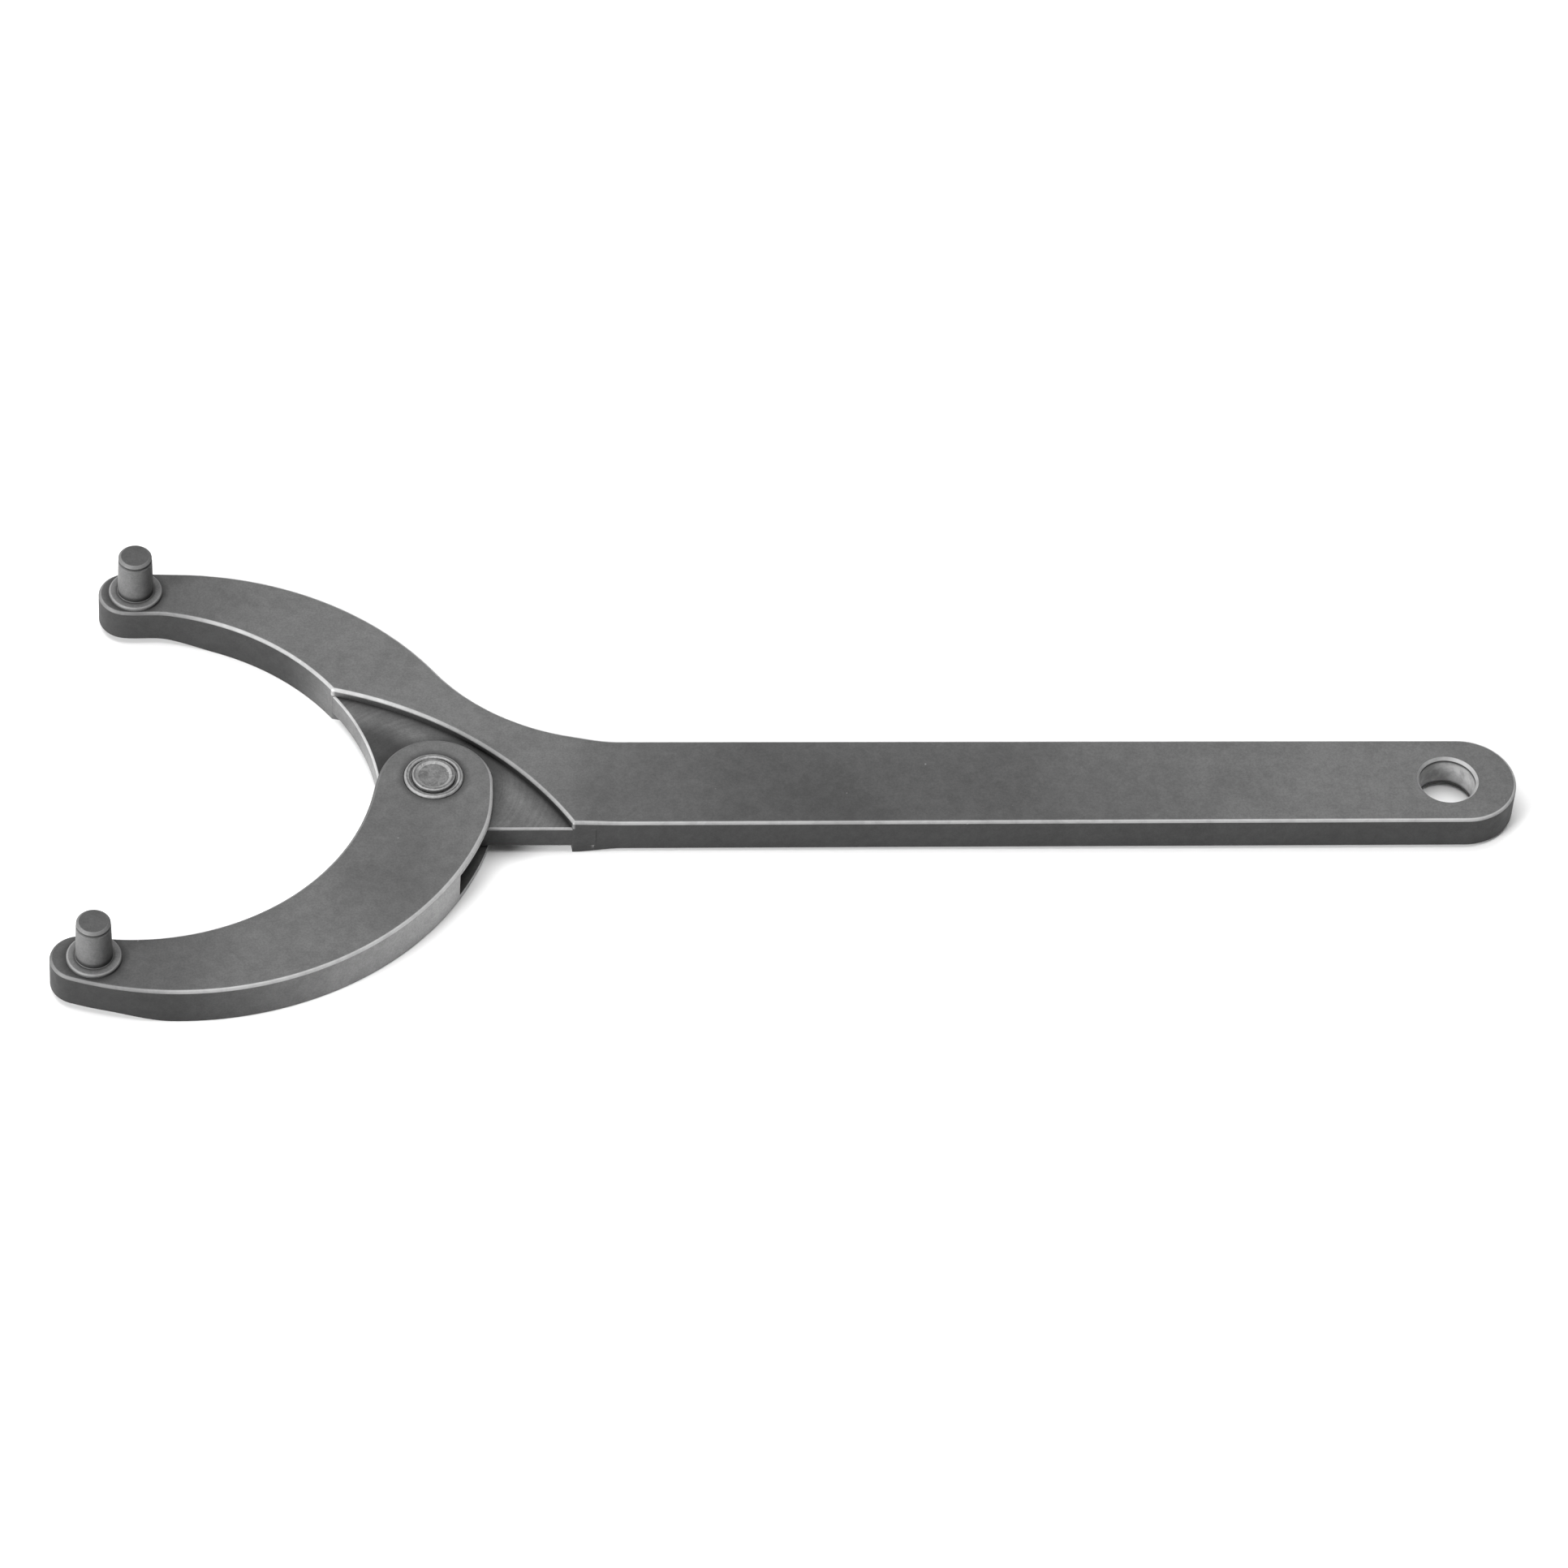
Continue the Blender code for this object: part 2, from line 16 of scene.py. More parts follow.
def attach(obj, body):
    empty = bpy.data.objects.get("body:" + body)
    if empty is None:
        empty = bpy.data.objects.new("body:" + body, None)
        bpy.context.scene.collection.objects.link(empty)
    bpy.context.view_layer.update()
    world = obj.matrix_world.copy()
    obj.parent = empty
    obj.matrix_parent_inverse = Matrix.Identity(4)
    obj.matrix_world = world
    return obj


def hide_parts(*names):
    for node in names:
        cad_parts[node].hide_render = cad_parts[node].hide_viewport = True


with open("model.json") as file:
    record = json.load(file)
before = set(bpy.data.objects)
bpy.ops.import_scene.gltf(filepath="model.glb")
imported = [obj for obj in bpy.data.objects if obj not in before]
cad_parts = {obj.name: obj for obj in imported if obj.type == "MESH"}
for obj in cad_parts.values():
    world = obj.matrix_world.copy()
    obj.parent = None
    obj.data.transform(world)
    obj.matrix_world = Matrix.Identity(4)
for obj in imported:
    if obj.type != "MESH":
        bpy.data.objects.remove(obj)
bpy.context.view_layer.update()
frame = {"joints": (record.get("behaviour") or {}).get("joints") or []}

MM = 0.001
AXIS = Vector((0.0, 0.0))

# ---------------------------------------------------------------- dimensions, as in the CAD

HEAD_THICKNESS = 6.35 * MM
HANDLE_THICKNESS = 5.40 * MM
RECESS_DEPTH = 1.35 * MM
CHEEK_THICKNESS = 1.10 * MM
EDGE_RADIUS = 0.58 * MM  # of the upper rims; the lower ones are sharper
UNDER_EDGE_RADIUS = 0.22 * MM
SKIN = 0.03 * MM  # keeps fine curves inside the coarser ones of the CAD
LIFT = 0.02 * MM  # keeps faces out of one another's plane
TONGUE_SETBACK = 0.05 * MM
TONGUE_EDGE_RADIUS = 0.42 * MM
CORNER_RADIUS = 0.2 * MM  # upright corners at the ends of the step

HANDLE_WIDTH = 15.9 * MM
HANDLE_MIDDLE_Y = -0.44 * MM
HANDLE_END_X = 156.85 * MM
HANDLE_START_X = 27.0 * MM
HANDLE_FLARE = 0.3 * MM
HANG_HOLE_RADIUS = 4.1 * MM
HANG_HOLE_CHAMFER = 0.4 * MM
HANG_HOLE_ROUNDING = 0.25 * MM
HANG_HOLE_X = 146.8 * MM

FIXED_OUTER_CENTRE = Vector((-37.15, -5.68)) * MM
FIXED_OUTER_RADIUS = 46.23 * MM
FIXED_INNER_CENTRE = Vector((-44.2, -3.7)) * MM
FIXED_TIP_CENTRE = Vector((-44.05, 36.5)) * MM
TIP_RADIUS = 4.2 * MM
FIXED_TIP_START = -95
FIXED_TIP_END = -270
TIP_BLEND_LENGTH = 8.0 * MM
TIP_RISE = 1.0 * MM
TIP_RISE_START = 13.0 * MM
TIP_RISE_END = 3.5 * MM
HEAD_FILLET_RADIUS = 31.48 * MM
HEAD_FRONT_Y = -8.95 * MM
NOSE_CENTRE = Vector((0.0, -1.08)) * MM
STEP_CENTRE = Vector((-28.0, -36.0)) * MM
STEP_RADIUS = 54.86 * MM
STEP_END_RADIUS = 8.0 * MM  # below, the step ends in a round that meets the front edge squarely
STEP_END_CLEARANCE = 0.05 * MM  # of that round past the step's front corner

SWING_OUTER_CENTRE = Vector((-36.2, 5.65)) * MM
SWING_OUTER_RADIUS = 46.2 * MM
SWING_INNER_CENTRE = Vector((-42.8, 4.34)) * MM
SWING_INNER_RADIUS = 34.8 * MM
FORK_CENTRE = Vector((0.3, -0.75)) * MM
FORK_RADIUS = 8.2 * MM
FORK_ROUND_END = 145
FORK_INNER_START = -12
FORK_SHOULDER_Y = -10.0 * MM
SLOT_OUTER_END = Vector((3.4, -17.95)) * MM
SLOT_INNER_END = Vector((-10.3, -8.15)) * MM

FIXED_PIN_CENTRE = Vector((-42.8, 36.6)) * MM
SWING_PIN_CENTRE = Vector((-48.1, -34.05)) * MM
PIN_TOP = HEAD_THICKNESS + 7.7 * MM
PIN_ROOT_RADIUS = 2.62 * MM
PIN_NECK_RADIUS = 2.47 * MM  # under the groove
PIN_LIP_RADIUS = 2.44 * MM  # over the groove
PIN_RIM_RADIUS = 2.42 * MM
PIN_END_RADIUS = 2.05 * MM
PIN_CHAMFER = 0.30 * MM
GROOVE_RADIUS = 2.26 * MM
GROOVE_LOW = PIN_TOP - 1.0 * MM
GROOVE_HIGH = PIN_TOP - 0.43 * MM
GROOVE_SLOPE = 0.12 * MM
COLLAR_TOP = HEAD_THICKNESS + 0.6 * MM
COLLAR_RADIUS = 3.92 * MM
COLLAR_ROUNDING = 0.35 * MM
STEM_RADIUS = 2.05 * MM
STEM_HOLE_RADIUS = 2.1 * MM
PEENED_RADIUS = 2.98 * MM  # the stem's end, riveted over
PEENED_DEPTH = 0.9 * MM
PEENED_SEAT_RADIUS = 3.02 * MM
PEENED_SEAT_MOUTH = 3.35 * MM

RIVET_RADIUS = 2.42 * MM
RIVET_HOLE_RADIUS = 2.5 * MM
RIVET_SUNK_RADIUS = 3.95 * MM
RIVET_SINK_RADIUS = 4.02 * MM
RIVET_SINK_MOUTH = 4.15 * MM
RIVET_HEAD_RADIUS = 3.10 * MM
RIVET_RIM_OUTER = 3.08 * MM
RIVET_RIM_INNER = 2.6 * MM
RIVET_DISH_RADIUS = 2.2 * MM

WASHER_BORE_RADIUS = 3.18 * MM
WASHER_OUTER_RADIUS = 4.28 * MM
WASHER_DEPTH = 0.42 * MM
WASHER_CREST_RADIUS = 3.85 * MM  # of the ring that the crest runs along
WASHER_CREST_REACH = 0.42 * MM
WASHER_CREST_HEIGHT = 0.38 * MM
WASHER_SEAT_RADIUS = 4.33 * MM
WASHER_SEAT_DEPTH = 0.45 * MM
WASHER_SEAT_MOUTH = 4.42 * MM
WASHER_SEAT_CHAMFER = 0.08 * MM

CHORD_ERROR = 0.004 * MM
ROUND_SIDES = 96
BLEND_STEPS = 14
EDGE_STEPS = 6
CORNER_STEPS = 4
ROUNDING_STEPS = 5
TAPER_CUTS = 14
CUT_TOLERANCE = 0.001 * MM
WELD_DISTANCE = 1e-7
WASHER_STEPS = 12
OVERSHOOT = 3.0 * MM
SHARP_ANGLE = math.radians(40)


# ---------------------------------------------------------------- outlines

def unit(degrees):
    return Vector((math.cos(math.radians(degrees)), math.sin(math.radians(degrees))))


def bearing(centre, point):
    return math.degrees(math.atan2(point.y - centre.y, point.x - centre.x))


def along(bearing_degrees, quarter):
    return unit(bearing_degrees + quarter)


def arc(centre, radius, start, end):
    widest = 2 * math.degrees(math.acos(1 - CHORD_ERROR / radius))
    steps = max(1, math.ceil(abs(end - start) / widest))
    return [centre + radius * unit(start + (end - start) * i / steps) for i in range(steps + 1)]


def blend(start, start_way, end, end_way):
    """A smooth curve that leaves and arrives along the given ways."""
    reach = (end - start).length / 3
    first = start + start_way.normalized() * reach
    second = end - end_way.normalized() * reach
    points = []
    for i in range(BLEND_STEPS + 1):
        t = i / BLEND_STEPS
        s = 1 - t
        points.append(s**3 * start + 3 * s * s * t * first + 3 * s * t * t * second + t**3 * end)
    return points


def joined(*stretches):
    outline = []
    for stretch in stretches:
        for point in stretch:
            if not outline or (point - outline[-1]).length > CHORD_ERROR:
                outline.append(point)
    if (outline[0] - outline[-1]).length < CHORD_ERROR:
        outline.pop()
    return outline


def crossing(centre, radius, other_centre, other_radius):
    """Where two circles cross, to the left of the way from the first centre to the other."""
    way = other_centre - centre
    distance = way.length
    along_way = (distance**2 + radius**2 - other_radius**2) / (2 * distance)
    off = math.sqrt(radius**2 - along_way**2)
    way.normalize()
    return centre + way * along_way + Vector((-way.y, way.x)) * off


def nearest(outline, corner):
    return min(range(len(outline)), key=lambda k: (outline[k] - corner).length)


def corner_arc(corner, back, ahead, radius, steps):
    """The arc that rounds a corner between the ways back and ahead from it."""
    half = back.angle(ahead) / 2
    centre = corner + (back + ahead).normalized() * (radius / math.sin(half))
    first = bearing(centre, corner + back * (radius / math.tan(half)))
    last = bearing(centre, corner + ahead * (radius / math.tan(half)))
    sweep = (last - first + 180) % 360 - 180
    return [centre + radius * unit(first + sweep * k / steps) for k in range(steps + 1)]


def soften(outline, i):
    """Replaces one sharp corner of an outline by a small arc."""
    point = outline[i]
    back = (outline[i - 1] - point).normalized()
    ahead = (outline[(i + 1) % len(outline)] - point).normalized()
    round_corner = corner_arc(point, back, ahead, CORNER_RADIUS, CORNER_STEPS)
    return outline[:i] + round_corner + outline[i + 1:]


NOSE_RADIUS = NOSE_CENTRE.y - HEAD_FRONT_Y
FIXED_INNER_RADIUS = (NOSE_CENTRE - FIXED_INNER_CENTRE).length - NOSE_RADIUS
SWING_TIP_CENTRE = crossing(
    SWING_OUTER_CENTRE, SWING_OUTER_RADIUS - TIP_RADIUS,
    SWING_INNER_CENTRE, SWING_INNER_RADIUS + TIP_RADIUS,
)
HANDLE_BACK_Y = HANDLE_MIDDLE_Y + HANDLE_WIDTH / 2
HANDLE_FRONT_Y = HANDLE_MIDDLE_Y - HANDLE_WIDTH / 2
HANDLE_END_CENTRE = Vector((HANDLE_END_X - HANDLE_WIDTH / 2, HANDLE_MIDDLE_Y))
INNER_CORNER = crossing(FIXED_INNER_CENTRE, FIXED_INNER_RADIUS, STEP_CENTRE, STEP_RADIUS)
FRONT_CORNER = Vector((
    STEP_CENTRE.x + math.sqrt(STEP_RADIUS**2 - (HEAD_FRONT_Y - STEP_CENTRE.y) ** 2),
    HEAD_FRONT_Y,
))


def head_outline():
    fillet_centre_y = HANDLE_BACK_Y + HEAD_FILLET_RADIUS
    reach = FIXED_OUTER_RADIUS + HEAD_FILLET_RADIUS
    fillet_centre = Vector((
        FIXED_OUTER_CENTRE.x + math.sqrt(reach**2 - (fillet_centre_y - FIXED_OUTER_CENTRE.y) ** 2),
        fillet_centre_y,
    ))
    tangent = bearing(FIXED_OUTER_CENTRE, fillet_centre)
    inner_start = bearing(FIXED_INNER_CENTRE, INNER_CORNER)
    blend_sweep = math.degrees(TIP_BLEND_LENGTH / FIXED_OUTER_RADIUS)
    inner_end = bearing(FIXED_INNER_CENTRE, FIXED_TIP_CENTRE) - blend_sweep
    outer_start = bearing(FIXED_OUTER_CENTRE, FIXED_TIP_CENTRE) - blend_sweep
    inner = arc(FIXED_INNER_CENTRE, FIXED_INNER_RADIUS, inner_start, inner_end)
    tip = arc(FIXED_TIP_CENTRE, TIP_RADIUS, FIXED_TIP_START, FIXED_TIP_END)
    outer = arc(FIXED_OUTER_CENTRE, FIXED_OUTER_RADIUS, outer_start, tangent)
    fillet = arc(fillet_centre, HEAD_FILLET_RADIUS, 180 + tangent, 270)
    end = arc(HANDLE_END_CENTRE, HANDLE_WIDTH / 2, 90, -90)
    handle_start = Vector((HANDLE_START_X, HANDLE_FRONT_Y - HANDLE_FLARE))
    left = Vector((-1.0, 0.0))
    front = blend(handle_start, left, FRONT_CORNER, left)
    step = arc(
        STEP_CENTRE, STEP_RADIUS,
        bearing(STEP_CENTRE, FRONT_CORNER), bearing(STEP_CENTRE, INNER_CORNER),
    )
    return joined(
        inner,
        blend(inner[-1], along(inner_end, 90), tip[0], along(FIXED_TIP_START, -90)),
        tip,
        blend(tip[-1], along(FIXED_TIP_END, -90), outer[0], along(outer_start, -90)),
        outer,
        fillet,
        end,
        front,
        step,
    )


def tongue_outline():
    inner_radius = FIXED_INNER_RADIUS + TONGUE_SETBACK
    nose_radius = NOSE_RADIUS - TONGUE_SETBACK
    into_head = STEP_RADIUS + OVERSHOOT
    front_y = HEAD_FRONT_Y + TONGUE_SETBACK
    tangent = bearing(FIXED_INNER_CENTRE, NOSE_CENTRE)
    far = crossing(FIXED_INNER_CENTRE, inner_radius, STEP_CENTRE, into_head)
    near_x = STEP_CENTRE.x + math.sqrt(into_head**2 - (front_y - STEP_CENTRE.y) ** 2)
    return joined(
        arc(NOSE_CENTRE, nose_radius, 270, 180 + tangent),
        arc(FIXED_INNER_CENTRE, inner_radius, tangent, bearing(FIXED_INNER_CENTRE, far)),
        arc(
            STEP_CENTRE, into_head,
            bearing(STEP_CENTRE, far), bearing(STEP_CENTRE, Vector((near_x, front_y))),
        ),
    )


def swing_outline():
    inner_end = bearing(SWING_INNER_CENTRE, SWING_TIP_CENTRE)
    outer_start = bearing(SWING_OUTER_CENTRE, SWING_TIP_CENTRE)
    shoulder_rise = FORK_SHOULDER_Y - SWING_OUTER_CENTRE.y
    outer_end = math.degrees(math.asin(shoulder_rise / SWING_OUTER_RADIUS))
    fork = arc(FORK_CENTRE, FORK_RADIUS, 0, FORK_ROUND_END)
    inner = arc(SWING_INNER_CENTRE, SWING_INNER_RADIUS, FORK_INNER_START, inner_end)
    run_in = blend(fork[-1], along(FORK_ROUND_END, 90), inner[0], along(FORK_INNER_START, -90))
    tip = arc(SWING_TIP_CENTRE, TIP_RADIUS, inner_end + 180, outer_start + 360)
    outer = arc(SWING_OUTER_CENTRE, SWING_OUTER_RADIUS, outer_start, outer_end)
    shoulder = blend(outer[-1], along(outer_end, 90), fork[0], along(0, 90))
    return joined(fork, run_in, inner, tip, outer, shoulder)


def slot_outline():
    floor = (SLOT_OUTER_END - SLOT_INNER_END).normalized()
    out = Vector((-floor.y, floor.x))
    reach = 2 * (FORK_RADIUS + OVERSHOOT) + (SLOT_OUTER_END - SLOT_INNER_END).length / 2
    outer = SLOT_OUTER_END + floor * reach
    inner = SLOT_INNER_END - floor * reach
    return [inner, outer, outer + out * 2 * reach, inner + out * 2 * reach]


# ---------------------------------------------------------------- solids

def inset(outline, distance):
    """The outline moved inwards by a small distance, corner by corner."""
    count = len(outline)
    area = sum(
        outline[i].x * outline[(i + 1) % count].y - outline[(i + 1) % count].x * outline[i].y
        for i in range(count)
    )
    side = 1 if area > 0 else -1
    moved = []
    for i, point in enumerate(outline):
        before = (point - outline[i - 1]).normalized()
        after = (outline[(i + 1) % count] - point).normalized()
        inward = Vector((-before.y - after.y, before.x + after.x)) * side
        moved.append(point + inward * (distance / (1 + before.dot(after))))
    return moved


def close_rings(shape, rings):
    """Fills in the faces from ring to ring of vertices, and one across each end."""
    for lower, upper in zip(rings, rings[1:]):
        for i in range(len(lower)):
            k = (i + 1) % len(lower)
            shape.faces.new((lower[i], lower[k], upper[k], upper[i]))
    shape.faces.new(rings[0])
    shape.faces.new(rings[-1])


def slab(shape, outline, low, high, under, over, corners=()):
    """Fills an outline between two heights, rounding its lower and upper rims and some corners."""
    corner_places = sorted((nearest(outline, corner) for corner in corners), reverse=True)
    turns = [math.radians(90 * i / EDGE_STEPS) for i in range(EDGE_STEPS + 1)]
    levels = [(under * (1 - math.sin(t)), low + under * (1 - math.cos(t))) for t in turns]
    levels += [(over * (1 - math.cos(t)), high - over * (1 - math.sin(t))) for t in turns]
    rings = []
    for distance, z in levels:
        level = inset(outline, distance + SKIN)
        for i in corner_places:
            level = soften(level, i)
        rings.append([shape.verts.new((p.x, p.y, z)) for p in level])
    close_rings(shape, rings)


def prism(shape, outline, low, high):
    close_rings(shape, [[shape.verts.new((p.x, p.y, z)) for p in outline] for z in (low, high)])


def thin(shape, start_x, end_x, thickness, level):
    """Thins a slab smoothly from start_x to end_x and beyond, about the height that stays level."""
    for i in range(TAPER_CUTS + 1):
        cut = Vector((start_x + (end_x - start_x) * i / TAPER_CUTS, 0, 0))
        everything = shape.verts[:] + shape.edges[:] + shape.faces[:]
        bmesh.ops.bisect_plane(
            shape, geom=everything, dist=CUT_TOLERANCE, plane_co=cut, plane_no=(1, 0, 0),
        )
    for vert in shape.verts:
        share = min(max((vert.co.x - start_x) / (end_x - start_x), 0.0), 1.0)
        eased = share * share * (3 - 2 * share)
        scale = 1 + eased * (thickness / HEAD_THICKNESS - 1)
        vert.co.z = level + (vert.co.z - level) * scale


def thin_tip(shape, tip_centre):
    start_x = tip_centre.x + TIP_RISE_START
    end_x = tip_centre.x + TIP_RISE_END
    thin(shape, start_x, end_x, HEAD_THICKNESS - TIP_RISE, HEAD_THICKNESS)


def rounded(points):
    """A profile whose corners, given as (radius, height, rounding), are replaced by arcs."""
    profile = []
    for i, (r, z, rounding) in enumerate(points):
        corner = Vector((r, z))
        if not rounding or i in (0, len(points) - 1):
            profile.append(corner)
            continue
        back = (Vector(points[i - 1][:2]) - corner).normalized()
        ahead = (Vector(points[i + 1][:2]) - corner).normalized()
        profile += corner_arc(corner, back, ahead, rounding, ROUNDING_STEPS)
    return profile


def turn_profile(shape, profile, centre=AXIS, closed=False):
    """Turns a profile of (radius, height) points, from the axis to the axis or a closed loop."""
    line = [shape.verts.new((centre.x + p[0], centre.y, p[1])) for p in profile]
    edges = [shape.edges.new(pair) for pair in zip(line, line[1:])]
    if closed:
        edges.append(shape.edges.new((line[-1], line[0])))
    bmesh.ops.spin(
        shape, geom=line + edges, cent=(centre.x, centre.y, 0), axis=(0, 0, 1),
        angle=math.tau, steps=ROUND_SIDES, use_merge=True,
    )
    bmesh.ops.remove_doubles(shape, verts=shape.verts, dist=WELD_DISTANCE)


HINGE = Vector(frame["joints"][0]["pos_m"][:2])


def stand(name, data):
    """A new object in the scene, holding a mesh, a camera or a light."""
    obj = bpy.data.objects.new(name, data)
    bpy.context.scene.collection.objects.link(obj)
    return obj


def made(name, mesh_maker, *arguments, origin=AXIS):
    """A new object from a mesh maker, standing at an origin seen from the hinge axis."""
    shape = bmesh.new()
    mesh_maker(shape, *arguments)
    bmesh.ops.recalc_face_normals(shape, faces=shape.faces)
    mesh = bpy.data.meshes.new(name)
    shape.to_mesh(mesh)
    shape.free()
    obj = stand(name, mesh)
    place = HINGE + origin
    obj.location = (place.x, place.y, 0.0)
    return obj


def combine(obj, other, operation):
    modifier = obj.modifiers.new(other.name, "BOOLEAN")
    modifier.operation = operation
    modifier.solver = "EXACT"
    modifier.object = other


def settle(obj, helpers=()):
    """Applies the modifiers, deletes the helpers and gives the surface its smooth shading."""
    bpy.context.view_layer.update()
    graph = bpy.context.evaluated_depsgraph_get()
    mesh = bpy.data.meshes.new_from_object(obj.evaluated_get(graph))
    obj.modifiers.clear()
    old = obj.data
    obj.data = mesh
    bpy.data.meshes.remove(old)
    for helper in helpers:
        bpy.data.objects.remove(helper)
    mesh.shade_smooth()
    mesh.set_sharp_from_angle(angle=SHARP_ANGLE)
    weighted = obj.modifiers.new("weighted normals", "WEIGHTED_NORMAL")
    weighted.mode = "FACE_AREA"
    weighted.weight = 50
    weighted.keep_sharp = True


# ---------------------------------------------------------------- the forgings

def head_forging(shape):
    slab(
        shape, head_outline(), 0.0, HEAD_THICKNESS, UNDER_EDGE_RADIUS, EDGE_RADIUS,
        (FRONT_CORNER, INNER_CORNER),
    )
    thin(shape, FRONT_CORNER.x, HANDLE_START_X, HANDLE_THICKNESS, HEAD_THICKNESS / 2)
    thin_tip(shape, FIXED_TIP_CENTRE)


def swing_forging(shape):
    slab(shape, swing_outline(), 0.0, HEAD_THICKNESS, UNDER_EDGE_RADIUS, EDGE_RADIUS)
    thin_tip(shape, SWING_TIP_CENTRE)


def hang_hole(shape):
    low = (HEAD_THICKNESS - HANDLE_THICKNESS) / 2
    high = HEAD_THICKNESS - low
    wide = HANG_HOLE_RADIUS + HANG_HOLE_CHAMFER
    far = wide + OVERSHOOT
    profile = rounded([
        (0, low - OVERSHOOT, 0),
        (far, low - OVERSHOOT, 0),
        (wide, low, 0),
        (HANG_HOLE_RADIUS, low + HANG_HOLE_CHAMFER, HANG_HOLE_ROUNDING),
        (HANG_HOLE_RADIUS, high - HANG_HOLE_CHAMFER, HANG_HOLE_ROUNDING),
        (wide, high, 0),
        (far, high + OVERSHOOT, 0),
        (0, high + OVERSHOOT, 0),
    ])
    turn_profile(shape, profile, Vector((HANG_HOLE_X, HANDLE_MIDDLE_Y)))


def pin_seat(shape, centre):
    """Through an arm's tip, sunk from below for the pin's peened end."""
    base = TIP_RISE + SKIN
    profile = [
        (0, -OVERSHOOT),
        (PEENED_SEAT_MOUTH, -OVERSHOOT),
        (PEENED_SEAT_RADIUS, base),
        (STEM_HOLE_RADIUS, base + PEENED_DEPTH),
        (STEM_HOLE_RADIUS, HEAD_THICKNESS + OVERSHOOT),
        (0, HEAD_THICKNESS + OVERSHOOT),
    ]
    turn_profile(shape, profile, centre)


def hinge_seat(shape):
    """Through the fork: sunk below for the rivet's head, seated above for the washer."""
    seat = HEAD_THICKNESS - WASHER_SEAT_DEPTH
    profile = [
        (0, -OVERSHOOT),
        (RIVET_SINK_MOUTH, -OVERSHOOT),
        (RIVET_SINK_RADIUS, SKIN),
        (RIVET_HOLE_RADIUS, CHEEK_THICKNESS),
        (RIVET_HOLE_RADIUS, seat),
        (WASHER_SEAT_RADIUS, seat),
        (WASHER_SEAT_RADIUS, HEAD_THICKNESS - WASHER_SEAT_CHAMFER),
        (WASHER_SEAT_MOUTH, HEAD_THICKNESS + LIFT / 2),
        (WASHER_SEAT_MOUTH, HEAD_THICKNESS + OVERSHOOT),
        (0, HEAD_THICKNESS + OVERSHOOT),
    ]
    turn_profile(shape, profile)


def round_cut(shape, radius, top, centre=AXIS):
    """A plain round cutter, from below the piece up to the given height."""
    profile = [(0, -OVERSHOOT), (radius, -OVERSHOOT), (radius, top), (0, top)]
    turn_profile(shape, profile, centre)


def make_head():
    head = made("forged_handle_and_fixed_arm", head_forging)
    tongue = made(
        "tongue", slab, tongue_outline(), RECESS_DEPTH, HEAD_THICKNESS - RECESS_DEPTH,
        UNDER_EDGE_RADIUS, TONGUE_EDGE_RADIUS,
    )
    step_end_centre = FRONT_CORNER + Vector((STEP_END_CLEARANCE - STEP_END_RADIUS, 0.0))
    cuts = [
        made("hang_hole", hang_hole),
        made("fixed_pin_seat", pin_seat, FIXED_PIN_CENTRE),
        made("lower_step_end", round_cut, STEP_END_RADIUS, RECESS_DEPTH, step_end_centre),
        made("tongue_bore", round_cut, RIVET_HOLE_RADIUS, HEAD_THICKNESS + OVERSHOOT),
    ]
    combine(head, tongue, "UNION")
    for helper in cuts:
        combine(head, helper, "DIFFERENCE")
    settle(head, [tongue] + cuts)
    return head


def make_swing_arm():
    arm = made("forged_swing_arm", swing_forging)
    cuts = [
        made("slot", prism, slot_outline(), CHEEK_THICKNESS, HEAD_THICKNESS - CHEEK_THICKNESS),
        made("hinge_seat", hinge_seat),
        made("swing_pin_seat", pin_seat, SWING_PIN_CENTRE),
    ]
    for helper in cuts:
        combine(arm, helper, "DIFFERENCE")
    settle(arm, cuts)
    return arm


# ---------------------------------------------------------------- the turned pieces

def pin(shape):
    """Riveted end, stem, collar, and a slightly tapered pin with a groove under its rounded end."""
    base = TIP_RISE + SKIN
    profile = rounded([
        (0, base, 0),
        (PEENED_RADIUS, base, 0.1 * MM),
        (STEM_RADIUS, base + PEENED_DEPTH, 0),
        (STEM_RADIUS, HEAD_THICKNESS + LIFT, 0),
        (COLLAR_RADIUS, HEAD_THICKNESS + LIFT, 0.08 * MM),
        (COLLAR_RADIUS, COLLAR_TOP, COLLAR_ROUNDING),
        (PIN_ROOT_RADIUS, COLLAR_TOP, 0.12 * MM),
        (PIN_NECK_RADIUS, GROOVE_LOW, 0.05 * MM),
        (GROOVE_RADIUS, GROOVE_LOW + GROOVE_SLOPE, 0.06 * MM),
        (GROOVE_RADIUS, GROOVE_HIGH - GROOVE_SLOPE, 0.06 * MM),
        (PIN_LIP_RADIUS, GROOVE_HIGH, 0.08 * MM),
        (PIN_RIM_RADIUS, PIN_TOP - PIN_CHAMFER, 0.12 * MM),
        (PIN_END_RADIUS, PIN_TOP, 0.2 * MM),
        (0, PIN_TOP, 0),
    ])
    turn_profile(shape, profile)


def rivet(shape):
    """A flush sunk head below and, above, a peened head with a raised rim round a shallow dish."""
    high = HEAD_THICKNESS
    profile = rounded([
        (0, SKIN, 0),
        (RIVET_SUNK_RADIUS, SKIN, 0.1 * MM),
        (RIVET_RADIUS, CHEEK_THICKNESS, 0),
        (RIVET_RADIUS, high - 0.3 * MM, 0),
        (RIVET_HEAD_RADIUS, high - 0.05 * MM, 0.1 * MM),
        (RIVET_RIM_OUTER, high + 0.6 * MM, 0.24 * MM),
        (RIVET_RIM_INNER, high + 0.58 * MM, 0.14 * MM),
        (RIVET_DISH_RADIUS, high + 0.34 * MM, 0.3 * MM),
        (0, high + 0.44 * MM, 0),
    ])
    turn_profile(shape, profile)


